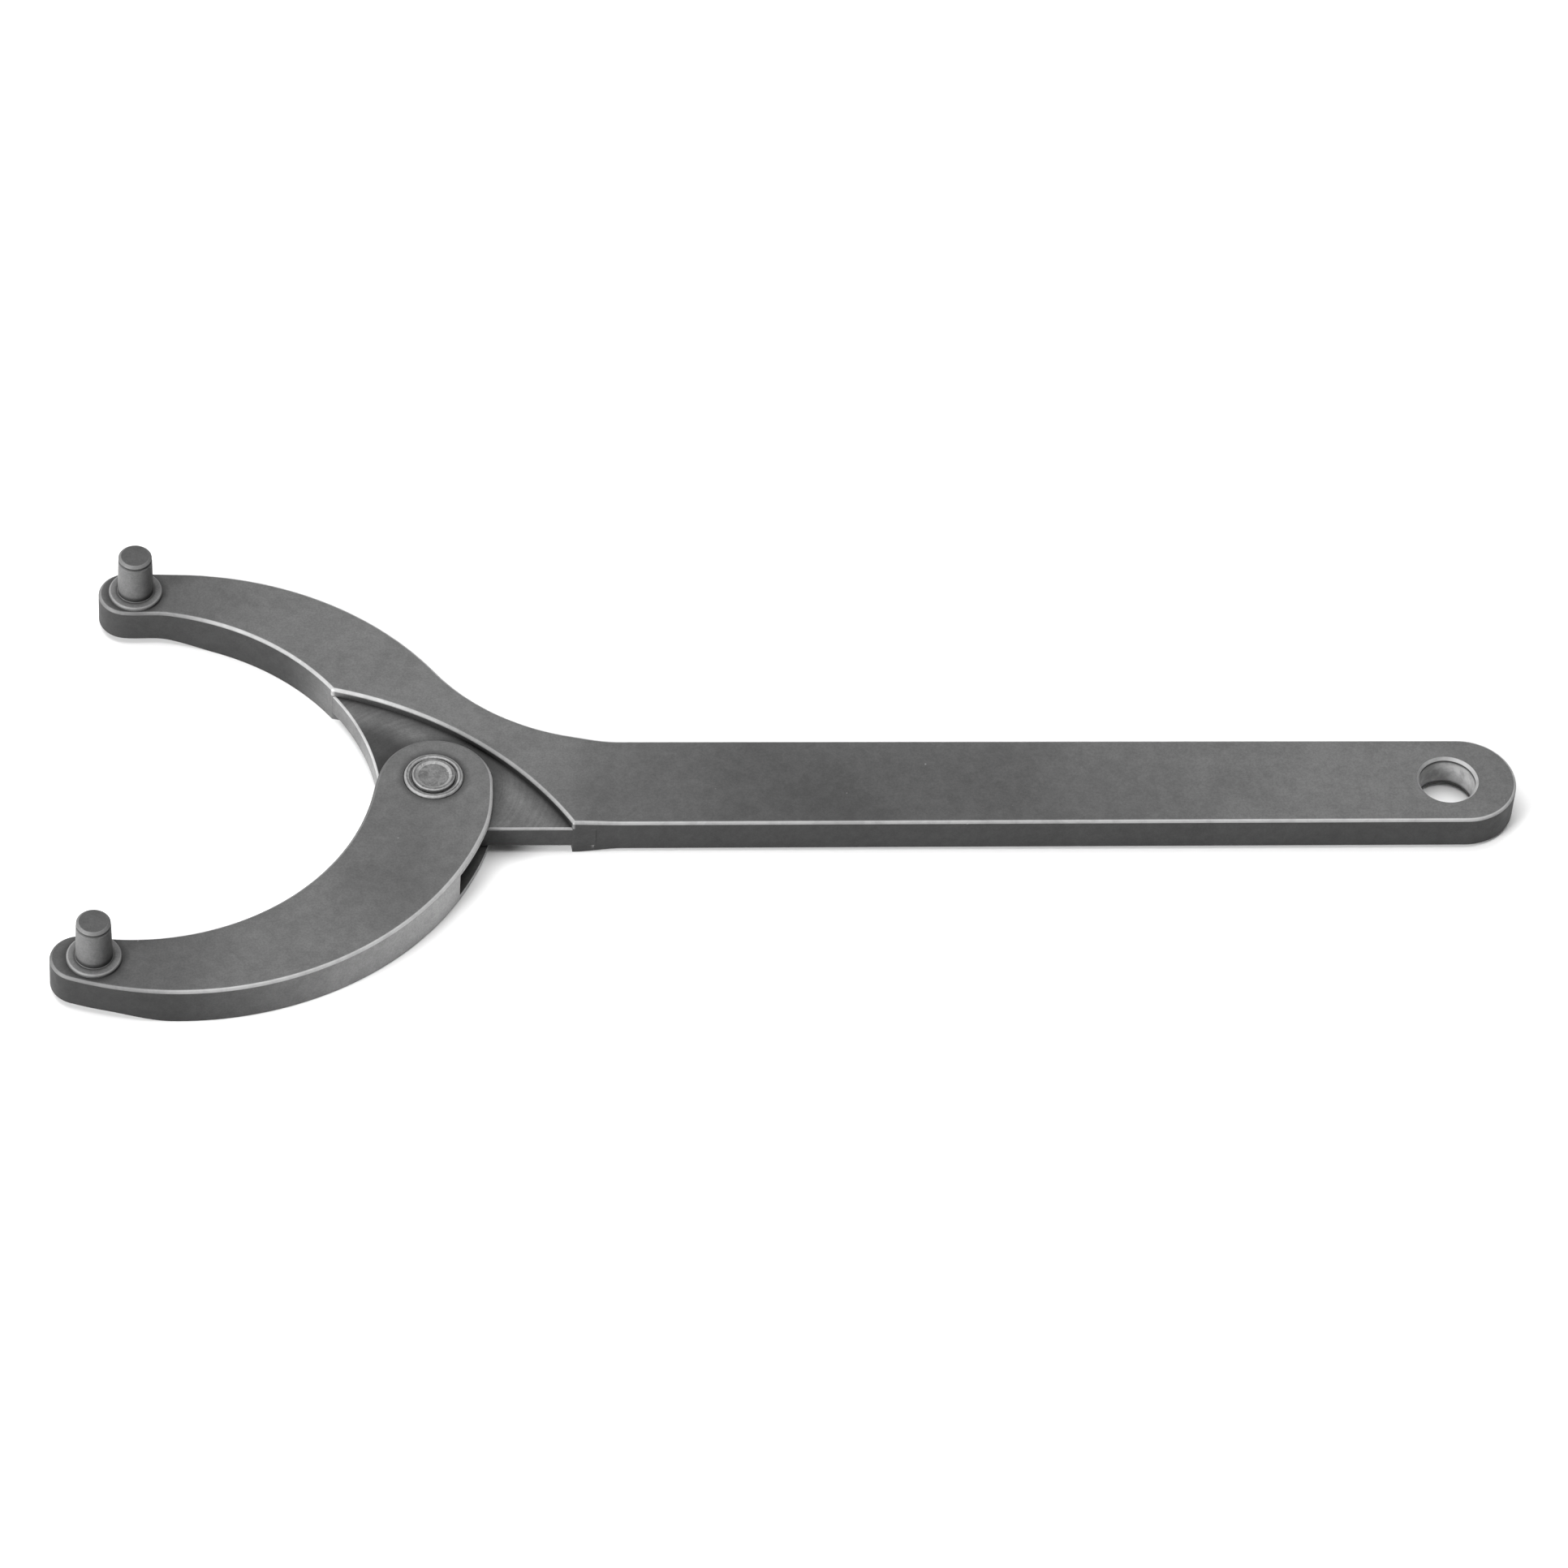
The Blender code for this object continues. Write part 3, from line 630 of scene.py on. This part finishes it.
def washer(shape):
    """A ring with a half-round crest and a thin lip that closes the gap round the rivet."""
    low = HEAD_THICKNESS - WASHER_DEPTH
    section = [
        Vector((WASHER_BORE_RADIUS, HEAD_THICKNESS - LIFT)),
        Vector((WASHER_BORE_RADIUS, low)),
        Vector((WASHER_OUTER_RADIUS, low)),
    ]
    crest = Vector((WASHER_CREST_RADIUS, HEAD_THICKNESS))
    for i in range(WASHER_STEPS + 1):
        way = unit(180 * i / WASHER_STEPS)
        section.append(crest + Vector((way.x * WASHER_CREST_REACH, way.y * WASHER_CREST_HEIGHT)))
    turn_profile(shape, section, closed=True)


# ---------------------------------------------------------------- materials

CLOUD_SIZE = 11 * MM
MOTTLE_SIZE = 1.7 * MM
GRAIN_SIZE = 0.3 * MM
SPECK_SIZE = 0.8 * MM
SCUFF_SIZE = 4.0 * MM
DENT_SIZE = 1.2 * MM
SWEEP_MARK_SIZE = 0.7 * MM
LATHE_MARK_SIZE = 0.16 * MM
CORNER_REACH = 3.5 * MM  # how far out of a corner its painted shade reaches, and how far its edges are spared wear
# width of the painted shade on the recess floor
STEP_SHADE_WIDTH = 3.4 * MM  # along the foot of the step
FLANK_START = 4.0 * MM  # from the outer arc, where wear begins to count
FLANK_END = 1.0 * MM
GRAIN_RELIEF = 0.02 * MM
CLOUD_RELIEF = 0.12 * MM
DENT_RELIEF = 0.25 * MM
LATHE_RELIEF = 0.015 * MM
ANY_HEIGHT = -MM  # lower than every point of the tool


class Nodes:
    """Short calls for building one material's node tree."""

    def __init__(self, name):
        self.material = bpy.data.materials.new(name)
        self.material.use_nodes = True
        self.tree = self.material.node_tree
        self.shader = self.tree.nodes["Principled BSDF"]

    def add(self, kind, **settings):
        node = self.tree.nodes.new(kind)
        for key, value in settings.items():
            setattr(node, key, value)
        return node

    def link(self, source, target):
        self.tree.links.new(source, target)

    def feed(self, socket, value):
        if isinstance(value, bpy.types.NodeSocket):
            self.link(value, socket)
        else:
            socket.default_value = value

    def math(self, operation, first, second=0.0, clamp=False):
        node = self.add("ShaderNodeMath", operation=operation, use_clamp=clamp)
        self.feed(node.inputs[0], first)
        self.feed(node.inputs[1], second)
        return node.outputs[0]

    def times(self, value, *factors):
        for factor in factors:
            value = self.math("MULTIPLY", value, factor)
        return value

    def noise(self, vector, size, detail=3.0, roughness=0.55, distortion=0.0):
        """Noise whose features are about the given size in metres."""
        node = self.add("ShaderNodeTexNoise")
        node.inputs["Scale"].default_value = 1 / size
        node.inputs["Detail"].default_value = detail
        node.inputs["Roughness"].default_value = roughness
        node.inputs["Distortion"].default_value = distortion
        self.link(vector, node.inputs["Vector"])
        return node.outputs["Fac"]

    def ramp(self, value, low, high, start, end):
        """Maps a value from one range to another, held at both ends."""
        node = self.add("ShaderNodeMapRange", interpolation_type="SMOOTHSTEP")
        self.feed(node.inputs["Value"], value)
        node.inputs["From Min"].default_value = low
        node.inputs["From Max"].default_value = high
        self.feed(node.inputs["To Min"], start)
        self.feed(node.inputs["To Max"], end)
        return node.outputs["Result"]

    def band(self, value, low, high, soft):
        """One between two bounds and nothing beyond them."""
        rise = self.ramp(value, low - soft, low, 0.0, 1.0)
        fall = self.ramp(value, high, high + soft, 1.0, 0.0)
        return self.times(rise, fall)

    def split(self, vector):
        node = self.add("ShaderNodeSeparateXYZ")
        self.link(vector, node.inputs[0])
        return node.outputs

    def vector(self, **parts):
        node = self.add("ShaderNodeCombineXYZ")
        for key, value in parts.items():
            self.link(value, node.inputs[key])
        return node.outputs[0]

    def grey(self, value):
        node = self.add("ShaderNodeCombineColor")
        for socket in node.inputs:
            self.link(value, socket)
        return node.outputs["Color"]

    def bump(self, height, strength, distance, before=None):
        node = self.add("ShaderNodeBump")
        node.inputs["Strength"].default_value = strength
        node.inputs["Distance"].default_value = distance
        self.link(height, node.inputs["Height"])
        if before is not None:
            self.link(before, node.inputs["Normal"])
        return node.outputs["Normal"]


class Surface(Nodes):
    """A material that knows each point's place, slope and openness, and its noise."""

    def __init__(self, name):
        super().__init__(name)
        place = self.add("ShaderNodeTexCoord")
        self.where = place.outputs["Object"]
        self.clouds = self.noise(self.where, CLOUD_SIZE, 3.0, 0.55, 0.4)
        self.mottle = self.noise(self.where, MOTTLE_SIZE, 5.0, 0.66, 0.3)
        self.grain = self.noise(self.where, GRAIN_SIZE, 4.0, 0.65)
        self.specks = self.noise(self.where, SPECK_SIZE, 2.0, 0.5)
        self.scuffs = self.noise(self.where, SCUFF_SIZE, 6.0, 0.7, 1.2)
        self.facing = self.split(place.outputs["Normal"])
        self.level = self.times(self.facing["Z"], self.facing["Z"])
        self.upright = self.math("SUBTRACT", 1.0, self.level)
        self.height = self.split(self.where)["Z"]
        from_middle = self.math("SUBTRACT", self.height, HEAD_THICKNESS / 2)
        self.off_middle = self.math("ABSOLUTE", from_middle)
        corner = self.add("ShaderNodeAmbientOcclusion", samples=8, only_local=True)
        corner.inputs["Distance"].default_value = CORNER_REACH
        self.openness = corner.outputs["AO"]

    def from_axis(self, centre):
        """How far a point lies from an upright line."""
        flat = self.add("ShaderNodeVectorMath", operation="MULTIPLY")
        self.link(self.where, flat.inputs[0])
        flat.inputs[1].default_value = (1.0, 1.0, 0.0)
        gap = self.add("ShaderNodeVectorMath", operation="DISTANCE")
        self.link(flat.outputs[0], gap.inputs[0])
        gap.inputs[1].default_value = (centre.x, centre.y, 0.0)
        return gap.outputs["Value"]

    def around(self, centre, start, end, near, far):
        """One value near an upright line and another far from it."""
        return self.ramp(self.from_axis(centre), start, end, near, far)


def painted_side_shade_and_light(steel, side_shade, painted_light_spots, flank):
    """Painted shade on uprights against flats, and painted light on uprights at the painted light
    spots.
    """
    # painted shade: uprights darker than flats by side_shade
    tone = steel.ramp(steel.level, 0.0, 1.0, side_shade, 1.0)
    for centre, start, end, gain, lowest in painted_light_spots:
        near = steel.around(centre, start, end, gain, 0.0)
        above = steel.math("GREATER_THAN", steel.height, lowest)
        tone = steel.math("ADD", tone, steel.times(near, above, flank, steel.upright))
    return tone


def tongue_tone(steel):
    """Both sunk faces of the tongue: painted shade along the foot of the step, and rings rubbed by
    the fork.
    """
    from_step = steel.from_axis(STEP_CENTRE)
    sunk = steel.times(
        steel.math("LESS_THAN", steel.off_middle, HEAD_THICKNESS / 2 - RECESS_DEPTH / 2),
        steel.math("LESS_THAN", from_step, STEP_RADIUS),
        steel.math("GREATER_THAN", steel.level, 0.5),
    )
    # painted shade, darker towards the foot of the step
    step_shade = steel.ramp(from_step, STEP_RADIUS - STEP_SHADE_WIDTH, STEP_RADIUS, 1.0, 0.5)
    rings = steel.noise(steel.vector(X=steel.from_axis(AXIS)), SWEEP_MARK_SIZE)
    marks = steel.ramp(rings, 0.3, 0.7, 0.88, 1.16)
    change = steel.math("SUBTRACT", steel.times(step_shade, marks), 1.0)
    return steel.math("ADD", 1.0, steel.times(change, sunk))


def drilled_wall(steel, centre, radius):
    """A lighter wall for a hole, between its chamfers, left dark just under them as painted shade.
    """
    return steel.times(
        steel.around(centre, radius, radius + 0.2 * MM, 0.3, 0.0),
        # fades out near the chamfers, leaving a painted shade band under each
        steel.ramp(steel.off_middle, 1.6 * MM, 2.2 * MM, 1.0, 0.0),
        steel.ramp(steel.mottle, 0.3, 0.7, 0.7, 1.2),
    )


def rubbed_edges(steel, unworn, flank):
    """One on edges that stand out, where faces tilt between flat and upright."""
    tilted = steel.math("MULTIPLY", steel.times(steel.level, steel.upright), 4.0, clamp=True)
    rubbed = steel.times(
        steel.ramp(tilted, 0.08, 0.5, 0.0, 1.0),
        steel.ramp(steel.scuffs, 0.3, 0.6, 0.75, 1.0),
    )
    for centre, start, end, share in unworn:
        rubbed = steel.times(rubbed, steel.around(centre, start, end, share, 1.0))
    return steel.times(
        rubbed,
        steel.ramp(flank, 0.0, 1.0, 0.4, 1.0),
        steel.ramp(steel.openness, 0.4, 0.75, 0.1, 1.0),
    )


def relief(steel, turned, dents):
    """The surface's small unevenness, with rings left by the lathe or dents of the hammer."""
    fine = steel.math("ADD", steel.grain, steel.times(steel.mottle, 1.5))
    normal = steel.bump(fine, 0.3, GRAIN_RELIEF)
    normal = steel.bump(steel.clouds, 0.5, CLOUD_RELIEF, before=normal)
    if turned:
        rings = steel.vector(X=steel.from_axis(AXIS), Y=steel.height)
        marks = steel.noise(rings, LATHE_MARK_SIZE, 2.0, 0.5)
        normal = steel.bump(marks, 0.4, LATHE_RELIEF, before=normal)
    if dents is not None:
        normal = steel.bump(dents, 0.9, DENT_RELIEF, before=normal)
    return normal


def oxide_steel(
    name, shade, side_shade, wear, painted_shade_and_dark_spots=(), painted_shade_bands=(), painted_light_spots=(), unworn=(), outer=None,
    drilled=None, recessed=False, turned=False, hammered=False,
):
    """Black-oxidised steel: cloudy, grainy and specked, with painted shade in its corners, rubbed
    on its edges.

    Painted shade and dark spots, painted light spots and unworn spots lie round an upright line:
    its place, where the spot fades from and to, and a value. A dark spot darkens flats to that
    share of their tone; rings round the pins' roots and collars, the washer and the fork, and
    patches in the recess, are painted shade, the others darker patches. A painted light spot
    lightens uprights by that gain above a height, as if lit from the side, or as a painted
    highlight on an upright corner;
    an unworn spot scales the wear by that share. A painted shade band darkens uprights: lowest,
    highest, softness and share. Uprights are darker than flats by side_shade, and all is darker in
    corners and recesses, both as painted shade. Outer is the centre and radius of an arc; away from
    it no painted light falls and the edges are worn less. Drilled is the centre and radius of a
    hole whose wall is lightened, left dark under its chamfers as painted shade. Wear is how much
    lighter the rubbed edges are. Turned pieces carry lathe marks and have painted shade, darker on
    their +X side and lighter on their -X side. Hammered ones are dented. Recessed ones have painted
    shade along the foot of the step and rings rubbed by the fork on the tongue.
    """
    steel = Surface(name)
    flank = 1.0
    if outer is not None:
        centre, radius = outer
        flank = steel.around(centre, radius - FLANK_START, radius - FLANK_END, 0.0, 1.0)
    dents = steel.noise(steel.where, DENT_SIZE, 3.0, 0.6, 0.5) if hammered else None

    tone = steel.times(
        steel.ramp(steel.clouds, 0.3, 0.7, 0.91, 1.09),
        steel.ramp(steel.mottle, 0.3, 0.7, 0.93, 1.07),
        steel.ramp(steel.grain, 0.25, 0.75, 0.85, 1.15),
    )
    if turned:
        # painted shade: darker on the +X side, lighter on the -X side
        tone = steel.times(tone, steel.ramp(steel.facing["X"], -0.9, 0.9, 1.12, 0.64))
    if hammered:
        tone = steel.times(tone, steel.ramp(dents, 0.35, 0.65, 0.72, 1.25))
    tone = steel.times(
        tone,
        painted_side_shade_and_light(steel, side_shade, painted_light_spots, flank),
        # painted shade: darker where corners and recesses close the surface in
        steel.ramp(steel.openness, 0.5, 0.97, 0.25, 1.0),
    )
    # painted shade and darker patches: each darkens flats near an upright line
    for centre, start, end, share in painted_shade_and_dark_spots:
        darkening = steel.around(centre, start, end, share, 1.0)
        tone = steel.times(tone, steel.math("MAXIMUM", darkening, steel.upright))
    # painted shade bands: uprights darkened between two heights
    for low, high, soft, share in painted_shade_bands:
        inside = steel.times(steel.band(steel.height, low, high, soft), steel.upright)
        tone = steel.times(tone, steel.ramp(inside, 0.0, 1.0, 1.0, share))
    if recessed:
        tone = steel.times(tone, tongue_tone(steel))

    base = steel.times(tone, shade)
    base = steel.math("ADD", base, steel.ramp(steel.specks, 0.76, 0.84, 0.0, 0.12))
    if drilled is not None:
        base = steel.math("ADD", base, drilled_wall(steel, *drilled))
    worn = steel.math("ADD", base, steel.times(rubbed_edges(steel, unworn, flank), wear))

    rough = steel.ramp(steel.mottle, 0.3, 0.7, 0.62, 0.54)
    steel.link(steel.grey(worn), steel.shader.inputs["Base Color"])
    steel.link(rough, steel.shader.inputs["Roughness"])
    steel.link(relief(steel, turned, dents), steel.shader.inputs["Normal"])
    steel.shader.inputs["Metallic"].default_value = 0.2
    steel.shader.inputs["Specular IOR Level"].default_value = 0.35
    return steel.material


# ---------------------------------------------------------------- assembly

def put(piece, material, body, node):
    piece.data.materials.clear()
    piece.data.materials.append(material)
    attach(piece, body)
    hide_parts(node)


handle_steel = oxide_steel(
    "forged_handle_oxide", shade=0.092, side_shade=0.31, wear=0.25,
    painted_shade_and_dark_spots=[
        # painted shade: a ring round the fixed pin's collar; then a darker patch towards the tip
        (FIXED_PIN_CENTRE, 3.9 * MM, 5.2 * MM, 0.45),
        (FIXED_PIN_CENTRE, 6.0 * MM, 24.0 * MM, 0.72),
        # painted shade: a ring round the fork and a patch on the recess floor left of it; then
        # darker patches along the handle
        (FORK_CENTRE, FORK_RADIUS, FORK_RADIUS + 3.2 * MM, 0.5),
        (Vector((-9.5, 5.0)) * MM, 4.0 * MM, 9.0 * MM, 0.28),
        (Vector((40.0, -10.0)) * MM, 15.0 * MM, 32.0 * MM, 0.7),
        (Vector((72.0, -16.0)) * MM, 8.0 * MM, 58.0 * MM, 0.56),
        # painted shade on the recess floor at the front, beside the fork
        (Vector((9.5, -8.0)) * MM, 1.0 * MM, 7.0 * MM, 0.72),
    ],
    painted_light_spots=[
        # painted light on the inner sides of the tongue and fixed arm, as if lit from the left
        (Vector((-15.0, 5.0)) * MM, 9.0 * MM, 21.0 * MM, 1.15, ANY_HEIGHT),
        (Vector((-10.0, 0.0)) * MM, 4.0 * MM, 11.0 * MM, 0.6, ANY_HEIGHT),
        # painted highlights on the step's upright corners
        (INNER_CORNER, 0.1 * MM, 0.5 * MM, 2.5, HEAD_THICKNESS - RECESS_DEPTH),
        (FRONT_CORNER, 0.1 * MM, 0.4 * MM, 1.3, HEAD_THICKNESS - RECESS_DEPTH),
    ],
    unworn=[
        (Vector((8.0, 4.0)) * MM, 5.0 * MM, 22.0 * MM, 0.45),
        (Vector((-10.0, 0.0)) * MM, 6.0 * MM, 12.0 * MM, 1.6),
        (FIXED_PIN_CENTRE, 5.0 * MM, 16.0 * MM, 0.45),
    ],
    drilled=(Vector((HANG_HOLE_X, HANDLE_MIDDLE_Y)), HANG_HOLE_RADIUS),
    recessed=True,
)
swing_steel = oxide_steel(
    "forged_swing_oxide", shade=0.087, side_shade=0.28, wear=0.25,
    painted_shade_and_dark_spots=[
        # painted shade: a ring round the swing pin's collar; then a darker patch towards the tip
        (SWING_PIN_CENTRE, 3.9 * MM, 5.2 * MM, 0.45),
        (SWING_PIN_CENTRE, 6.0 * MM, 30.0 * MM, 0.66),
        # painted shade: a ring round the washer; then a darker patch
        (AXIS, 4.3 * MM, 5.6 * MM, 0.45),
        (Vector((-5.0, -16.0)) * MM, 3.0 * MM, 18.0 * MM, 0.8),
    ],
    # painted light on the outer flank, as if lit from the right
    painted_light_spots=[(AXIS, 17.0 * MM, 56.0 * MM, 3.5, ANY_HEIGHT)],
    unworn=[
        (Vector((-6.0, 6.0)) * MM, 5.0 * MM, 22.0 * MM, 0.45),
        (SWING_PIN_CENTRE, 5.0 * MM, 18.0 * MM, 0.45),
    ],
    outer=(SWING_OUTER_CENTRE, SWING_OUTER_RADIUS),
)
pin_steel = oxide_steel(
    "turned_black_oxide", shade=0.168, side_shade=0.72, wear=0.07,
    # painted shade on the collar round the pin's root, and a darker pin end
    painted_shade_and_dark_spots=[(AXIS, 2.7 * MM, 3.15 * MM, 0.45), (AXIS, 1.9 * MM, 2.2 * MM, 0.8)],
    # painted shade bands: a dark line in the groove under the rounded end, and dark at the root
    # above the collar
    painted_shade_bands=[
        (PIN_TOP - 0.9 * MM, PIN_TOP - 0.5 * MM, 0.1 * MM, 0.3),
        (COLLAR_TOP, COLLAR_TOP + 0.3 * MM, 0.9 * MM, 0.45),
    ],
    turned=True,
)
rivet_steel = oxide_steel(
    "peened_black_oxide", shade=0.105, side_shade=0.8, wear=0.16, hammered=True,
)

put(make_head(), handle_steel, "handle", "handle_and_fixed_arm")
put(make_swing_arm(), swing_steel, "swing", "swing_arm")

turned_pieces = (
    ("fixed_pin", pin, FIXED_PIN_CENTRE, pin_steel, "handle", "fixed_arm_pin", "pin_steel"),
    ("swing_pin", pin, SWING_PIN_CENTRE, pin_steel, "swing", "swing_arm_pin", "pin_steel"),
    ("peened_rivet", rivet, AXIS, rivet_steel, "swing", "hinge_rivet", "rivet_steel"),
    ("riveting_washer", washer, AXIS, rivet_steel, "swing", "hinge_washer", "rivet_steel"),
)
for name, maker, centre, material, body, node, slot in turned_pieces:
    piece = made(name, maker, origin=centre)
    settle(piece)
    put(piece, material, body, node)


# ---------------------------------------------------------------- floor, camera and light

FLOOR_REACH = 3.0
FLOOR_GREY = 0.86


def make_floor():
    shape = bmesh.new()
    corners = ((-1, -1), (1, -1), (1, 1), (-1, 1))
    shape.faces.new([
        shape.verts.new((x * FLOOR_REACH, y * FLOOR_REACH, -LIFT)) for x, y in corners
    ])
    mesh = bpy.data.meshes.new("floor")
    shape.to_mesh(mesh)
    shape.free()
    nodes = Nodes("pale_floor")
    nodes.shader.inputs["Base Color"].default_value = (FLOOR_GREY, FLOOR_GREY, FLOOR_GREY, 1.0)
    nodes.shader.inputs["Roughness"].default_value = 0.9
    nodes.shader.inputs["Specular IOR Level"].default_value = 0.1
    mesh.materials.append(nodes.material)
    stand("floor", mesh)


CAMERA_LIFT = math.radians(47.5)  # above the horizon
CAMERA_TURN = math.radians(6.5)  # to the left of straight in front
CAMERA_ROLL = math.radians(4.7)
CAMERA_DISTANCE = 1047.1 * MM  # to the point the view was set on
SENSOR_WIDTH = 36.0
FOCAL_LENGTH = 167.70
NEAREST_SEEN = 0.01
FARTHEST_SEEN = 20
AIM = Vector((0.0, 0.35 * MM, HEAD_THICKNESS))  # that point, seen from the hinge axis
AIM_RIGHT = -0.04797  # where it stands in the picture, as shares of its distance
AIM_UP = 0.00122


def make_camera():
    right = Vector((math.cos(CAMERA_TURN), -math.sin(CAMERA_TURN), 0))
    forward = Vector((
        math.sin(CAMERA_TURN) * math.cos(CAMERA_LIFT),
        math.cos(CAMERA_TURN) * math.cos(CAMERA_LIFT),
        -math.sin(CAMERA_LIFT),
    ))
    up = right.cross(forward)
    right, up = (
        right * math.cos(CAMERA_ROLL) + up * math.sin(CAMERA_ROLL),
        up * math.cos(CAMERA_ROLL) - right * math.sin(CAMERA_ROLL),
    )
    aim = Vector((HINGE.x, HINGE.y, 0)) + AIM
    place = aim - CAMERA_DISTANCE * (right * AIM_RIGHT + up * AIM_UP + forward)
    data = bpy.data.cameras.new("camera")
    data.sensor_width = SENSOR_WIDTH
    data.lens = FOCAL_LENGTH
    data.clip_start = NEAREST_SEEN
    data.clip_end = FARTHEST_SEEN
    camera = stand("camera", data)
    turn = Matrix((right, up, -forward)).transposed().to_4x4()
    camera.matrix_world = Matrix.Translation(place) @ turn
    bpy.context.scene.camera = camera


WORLD_STRENGTH = 0.12


def soft_light(name, power, width, height, place):
    """A rectangle of light that looks at the middle of the tool."""
    data = bpy.data.lights.new(name, "AREA")
    data.energy = power
    data.shape = "RECTANGLE"
    data.size = width
    data.size_y = height
    lamp = stand(name, data)
    lamp.location = place
    lamp.rotation_euler = (-Vector(place)).to_track_quat("-Z", "Y").to_euler()


def make_light():
    world = bpy.data.worlds.new("studio")
    world.use_nodes = True
    background = world.node_tree.nodes["Background"]
    background.inputs["Color"].default_value = (1.0, 1.0, 1.0, 1.0)
    background.inputs["Strength"].default_value = WORLD_STRENGTH
    bpy.context.scene.world = world
    soft_light("overhead", power=33.0, width=1.5, height=1.5, place=(-0.1, 0.3, 1.5))
    soft_light("front_left", power=26.0, width=0.6, height=0.4, place=(-1.0, -0.75, 0.6))
    soft_light("right", power=1.5, width=0.6, height=0.4, place=(1.1, -0.3, 0.4))


make_floor()
make_camera()
make_light()
bpy.context.scene.view_settings.view_transform = "Standard"
